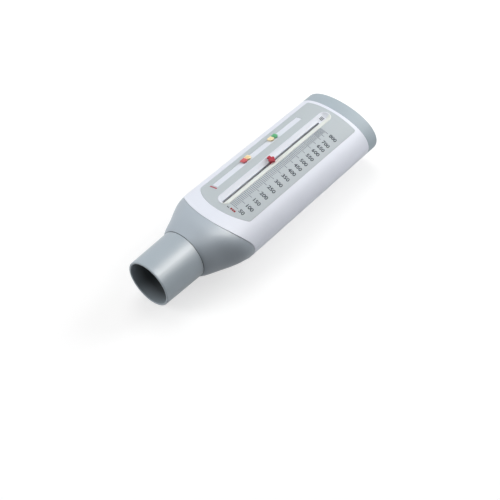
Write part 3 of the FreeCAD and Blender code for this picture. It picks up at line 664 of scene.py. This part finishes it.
def printBars(name, material, station, across, length, width):
    cuts = markLook["plateCuts"]
    bars = [flatStrip(stationX(station), y * mm, length, width, cuts) for y in across]
    return finishPrint(joined(bars, name), material)


def printUnitBars(stations, across, length, width):  # in the dish of the track
    cuts = markLook["dishCuts"]
    bars = [flatStrip(stationX(station), across * mm, length, width, cuts) for station in stations]
    return finishPrint(joined(bars, "unit_mark"), darkInk, troughZ)


printBars("low_end_mark", redInk, **markLook["redBars"])
printBars("low_end_tick", darkInk, **markLook["darkBars"])
printBars("groove_end_mark", fadedInk, **markLook["grooveBar"])
printUnitBars(**markLook["unitBars"])
print("stage: marks printed")


# a dark ring in the groove between the mouthpiece and the neck: painted shade, standing in for the shadow
# in the gap between them
shadowRingLook = {"radius": 14.76, "wire": 0.30, "back": 0.13, "steps": 160, "sides": 14,
            "dark": shade(40, 45, 50), "pale": shade(58, 64, 70)}


def buildJointRing():
    grooveX = boxOf("neck")[0].x - shadowRingLook["back"] * mm
    clearSelection()
    bpy.ops.mesh.primitive_torus_add(
        major_radius=shadowRingLook["radius"] * mm, minor_radius=shadowRingLook["wire"] * mm,
        major_segments=shadowRingLook["steps"], minor_segments=shadowRingLook["sides"],
        location=(grooveX, 0, axisZ), rotation=(0, math.pi / 2, 0))
    ring = bpy.context.object
    ring.name = "joint_shadow_ring"
    bpy.ops.object.shade_smooth()
    bakePlace(ring)
    # the ring's dark rubber finish is painted shade for the gap
    rubber = rubberFinish("shadow_ring_finish", shadowRingLook["dark"], shadowRingLook["pale"])
    return seat(ring, rubber.material, "mouth")


buildJointRing()
print("stage: joint ring")


# floor, backdrop and light
stageLook = {
    "floorReach": 4000, "floorDrop": 0.02, "floorRough": 0.9,
    "floorSeen": (0.40, 0.40, 0.40), "floorBounce": (0.40, 0.40, 0.41), "floorGlow": 0.65,
    "fadeFrom": 300, "fadeRun": 500,  # how far from the meter the floor turns white
    "worldLevel": 0.15,
    "key": {"towards": (0.25, 0.45, 0.86), "distance": 1.2, "size": 0.9, "level": 0.50},
    "rear": {"towards": (0.82, -0.28, 0.50), "distance": 1.0, "size": 0.6, "level": 0.62},
    "front": {"towards": (-0.70, 0.50, 0.50), "distance": 1.0, "size": 0.4, "level": 0.39},
    "side": {"towards": (0.85, -0.42, 0.16), "distance": 0.6, "size": (0.5, 0.14), "level": 0.34},
    "strip": {"towards": (0.494, -0.36, 0.79), "distance": 0.9, "size": (0.55, 0.55), "level": 2.3,
              "colour": (1.0, 0.97, 0.93)},
}


def seenRays(f):  # rays that show the background itself: from the camera, in a gloss and through glass
    path = f.tree.nodes.new("ShaderNodeLightPath")
    camera, gloss, through = (Wire(f, path.outputs[label + " Ray"]) for label in
                              ("Is Camera", "Is Glossy", "Is Transmission"))
    return (camera + gloss + through).clamped()


def buildFloor():
    clearSelection()
    look = stageLook
    bpy.ops.mesh.primitive_plane_add(size=look["floorReach"] * mm, location=(0, 0, -look["floorDrop"] * mm))
    floor = bpy.context.object
    floor.name = "floor"
    f = Finish("floor_finish")
    seen = seenRays(f)
    across = f.axis(1)
    along = f.axis(0)
    reach = (across * across + along * along) ** 0.5
    far = ((reach - look["fadeFrom"] * mm) / (look["fadeRun"] * mm)).clamped()
    near = f.mix(far, look["floorSeen"], (0, 0, 0))
    f.set(Base_Color=f.mix(seen, look["floorBounce"], near))
    f.set(Roughness=look["floorRough"], Specular_IOR_Level=0.0)
    strength = (look["floorGlow"] + (1 - look["floorGlow"]) * far) * seen
    glow = f.node("ShaderNodeEmission", None, {"Color": (1, 1, 1), "Strength": strength})
    lit = f.node("ShaderNodeAddShader", None, [Wire(f, f.surface.outputs[0]), glow])
    below = Wire(f, f.tree.nodes.new("ShaderNodeNewGeometry").outputs["Backfacing"])
    both = f.node("ShaderNodeMixShader", None, [below, lit, f.node("ShaderNodeBsdfTransparent")])
    output = next(n for n in f.tree.nodes if n.type == "OUTPUT_MATERIAL")
    f.put(output.inputs["Surface"], both)
    floor.data.materials.append(f.material)


def buildWorld():
    world = bpy.data.worlds.new("studio")
    f = Finish("studio", world)
    level = stageLook["worldLevel"]
    f.set(Color=(1, 1, 1), Strength=level + (1 - level) * seenRays(f))
    bpy.context.scene.world = world


def lamp(name, towards, distance, size, level, colour=(1, 1, 1)):
    # distance and size are metres, level is how bright a white card facing the lamp gets, 1 is white
    data = bpy.data.lights.new(name, "AREA")
    data.energy = level * (math.pi * distance) ** 2
    data.color = colour
    if isinstance(size, tuple):
        data.shape = "RECTANGLE"
        data.size, data.size_y = size
    else:
        data.shape = "DISK"
        data.size = size
    item = bpy.data.objects.new(name, data)
    bpy.context.collection.objects.link(item)
    way = Vector(towards).normalized()
    item.location = Vector((0, 0, axisZ)) + way * distance
    item.rotation_euler = way.to_track_quat("Z", "Y").to_euler()
    item.visible_camera = False
    return item


def buildLights():
    for name in ("key", "rear", "front", "side"):
        lamp(name, **stageLook[name]).visible_glossy = False
    lamp("strip", **stageLook["strip"]).visible_diffuse = False


buildFloor()
buildWorld()
buildLights()
print("stage: floor and light")


# camera, as fitted to the outlines of the mouthpiece and the body
viewLook = {
    "azimuth": -51.449, "elevation": 50.798, "roll": 2.728,
    "target": (-31.85, -25.41, 17.81), "distance": 519.22, "lens": 67.67, "sensor": 36, "nearest": 10,
}


def buildCamera():
    look = viewLook
    turn, rise, roll = (math.radians(look[key]) for key in ("azimuth", "elevation", "roll"))
    back = Vector((math.sin(turn) * math.cos(rise), -math.cos(turn) * math.cos(rise), math.sin(rise)))
    side = Vector((math.cos(turn), math.sin(turn), 0))
    top = back.cross(side)
    right = side * math.cos(roll) + top * math.sin(roll)
    up = top * math.cos(roll) - side * math.sin(roll)
    data = bpy.data.cameras.new("camera")
    data.sensor_width = look["sensor"]
    data.lens = look["lens"]
    data.clip_start = look["nearest"] * mm
    camera = bpy.data.objects.new("camera", data)
    bpy.context.collection.objects.link(camera)
    spot = Vector(look["target"]) * mm + back * look["distance"] * mm
    camera.matrix_world = Matrix.Translation(spot) @ Matrix((right, up, back)).transposed().to_4x4()
    bpy.context.scene.camera = camera


buildCamera()
bpy.context.scene.view_settings.view_transform = "Standard"
clearSelection()
